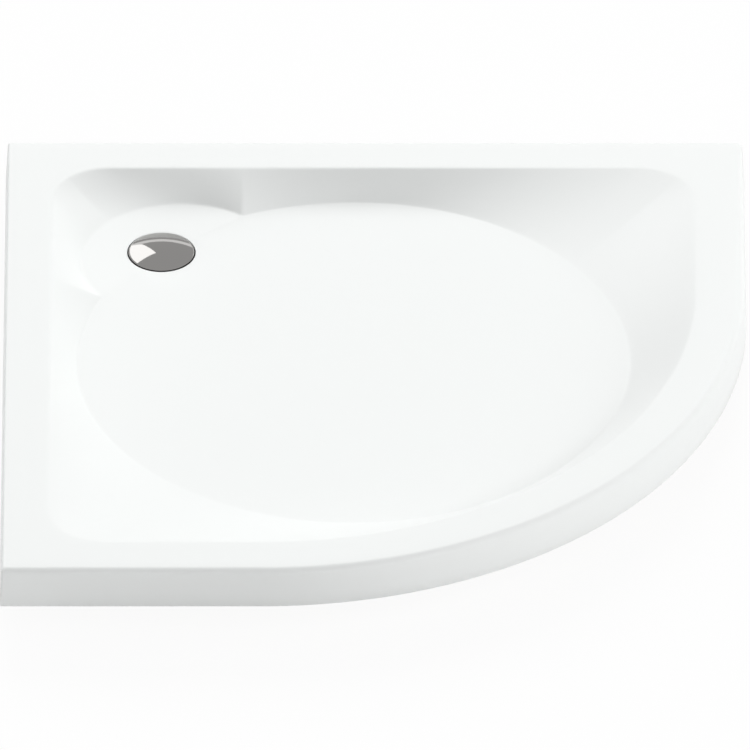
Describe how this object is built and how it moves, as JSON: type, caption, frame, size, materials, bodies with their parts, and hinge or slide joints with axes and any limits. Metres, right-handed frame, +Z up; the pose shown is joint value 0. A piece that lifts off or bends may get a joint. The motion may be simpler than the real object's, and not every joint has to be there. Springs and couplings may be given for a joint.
{
  "type": "shower tray",
  "caption": "Low quadrant shower tray with a curved front, shallow round bowl, domed waste cover, trap and levelling feet.",
  "frame": {"origin": "on the floor under the middle of the tray, at the bottom of the feet", "axes": "+Z up, +Y towards the back wall, +X to the right as seen from the front, so the waste is at -X and +Y"},
  "size_m": [0.9056, 0.9056, 0.103],
  "materials": {
    "acrylic": "gloss white sheet",
    "laminate": "rough glass fibre laminate",
    "board": "raw particle board",
    "foot_plastic": "moulded black",
    "zinc_steel": "zinc plated",
    "waste_plastic": "moulded light grey",
    "seal_rubber": "matt black",
    "chrome_cover": "bright chrome plate"
  },
  "bodies": {
    "tray": {"tray_shell": "acrylic", "glass_fibre_backing": "laminate", "base_board": "board", "socket_screws": "zinc_steel", "foot_socket_1": "foot_plastic", "lock_nut_1": "zinc_steel", "foot_socket_2": "foot_plastic", "lock_nut_2": "zinc_steel", "foot_socket_3": "foot_plastic", "lock_nut_3": "zinc_steel", "foot_socket_4": "foot_plastic", "lock_nut_4": "zinc_steel", "foot_socket_5": "foot_plastic", "lock_nut_5": "zinc_steel", "foot_socket_6": "foot_plastic", "lock_nut_6": "zinc_steel", "waste_flange": "waste_plastic", "flange_gasket": "seal_rubber", "body_gasket": "seal_rubber", "trap_body": "waste_plastic", "outlet_seal": "seal_rubber", "outlet_spigot": "waste_plastic", "union_nut": "waste_plastic"},
    "trap_insert": {"dip_tube": "waste_plastic", "seal_cup": "waste_plastic", "throat_seal": "seal_rubber"},
    "waste_cover": {"waste_cap": "chrome_cover", "cap_stem": "waste_plastic"},
    "pad_1": {"foot_pad_1": "foot_plastic"},
    "spindle_1": {"foot_spindle_1": "zinc_steel"},
    "pad_2": {"foot_pad_2": "foot_plastic"},
    "spindle_2": {"foot_spindle_2": "zinc_steel"},
    "pad_3": {"foot_pad_3": "foot_plastic"},
    "spindle_3": {"foot_spindle_3": "zinc_steel"},
    "pad_4": {"foot_pad_4": "foot_plastic"},
    "spindle_4": {"foot_spindle_4": "zinc_steel"},
    "pad_5": {"foot_pad_5": "foot_plastic"},
    "spindle_5": {"foot_spindle_5": "zinc_steel"},
    "pad_6": {"foot_pad_6": "foot_plastic"},
    "spindle_6": {"foot_spindle_6": "zinc_steel"}
  },
  "joints": [
    {"name": "insert_lift", "type": "slide", "parent": "tray", "child": "trap_insert", "axis": [0, 0, 1], "range_m": [0, 0.06]},
    {"name": "cover_lift", "type": "slide", "parent": "trap_insert", "child": "waste_cover", "axis": [0, 0, 1], "range_m": [0, 0.03]},
    {"name": "foot_1_height", "type": "slide", "parent": "tray", "child": "pad_1", "axis": [0, 0, -1], "range_m": [0, 0.018]},
    {"name": "foot_1_turn", "type": "hinge", "parent": "pad_1", "child": "spindle_1", "pos_m": [-0.0262, 0.0262, 0.011], "axis": [0, 0, -1], "range_deg": [0, 3703]},
    {"name": "foot_2_height", "type": "slide", "parent": "tray", "child": "pad_2", "axis": [0, 0, -1], "range_m": [0, 0.018]},
    {"name": "foot_2_turn", "type": "hinge", "parent": "pad_2", "child": "spindle_2", "pos_m": [0.16458, -0.16458, 0.011], "axis": [0, 0, -1], "range_deg": [0, 3703]},
    {"name": "foot_3_height", "type": "slide", "parent": "tray", "child": "pad_3", "axis": [0, 0, -1], "range_m": [0, 0.018]},
    {"name": "foot_3_turn", "type": "hinge", "parent": "pad_3", "child": "spindle_3", "pos_m": [0.16458, 0.21698, 0.011], "axis": [0, 0, -1], "range_deg": [0, 3703]},
    {"name": "foot_4_height", "type": "slide", "parent": "tray", "child": "pad_4", "axis": [0, 0, -1], "range_m": [0, 0.018]},
    {"name": "foot_4_turn", "type": "hinge", "parent": "pad_4", "child": "spindle_4", "pos_m": [0.02065, 0.2919, 0.011], "axis": [0, 0, -1], "range_deg": [0, 3703]},
    {"name": "foot_5_height", "type": "slide", "parent": "tray", "child": "pad_5", "axis": [0, 0, -1], "range_m": [0, 0.018]},
    {"name": "foot_5_turn", "type": "hinge", "parent": "pad_5", "child": "spindle_5", "pos_m": [-0.2919, -0.02065, 0.011], "axis": [0, 0, -1], "range_deg": [0, 3703]},
    {"name": "foot_6_height", "type": "slide", "parent": "tray", "child": "pad_6", "axis": [0, 0, -1], "range_m": [0, 0.018]},
    {"name": "foot_6_turn", "type": "hinge", "parent": "pad_6", "child": "spindle_6", "pos_m": [-0.21698, -0.16458, 0.011], "axis": [0, 0, -1], "range_deg": [0, 3703]}
  ],
  "couplings": [
    {"joint": "foot_1_turn", "follows": "foot_1_height", "rad_per_m": 3590.4},
    {"joint": "foot_2_turn", "follows": "foot_2_height", "rad_per_m": 3590.4},
    {"joint": "foot_3_turn", "follows": "foot_3_height", "rad_per_m": 3590.4},
    {"joint": "foot_4_turn", "follows": "foot_4_height", "rad_per_m": 3590.4},
    {"joint": "foot_5_turn", "follows": "foot_5_height", "rad_per_m": 3590.4},
    {"joint": "foot_6_turn", "follows": "foot_6_height", "rad_per_m": 3590.4}
  ]
}
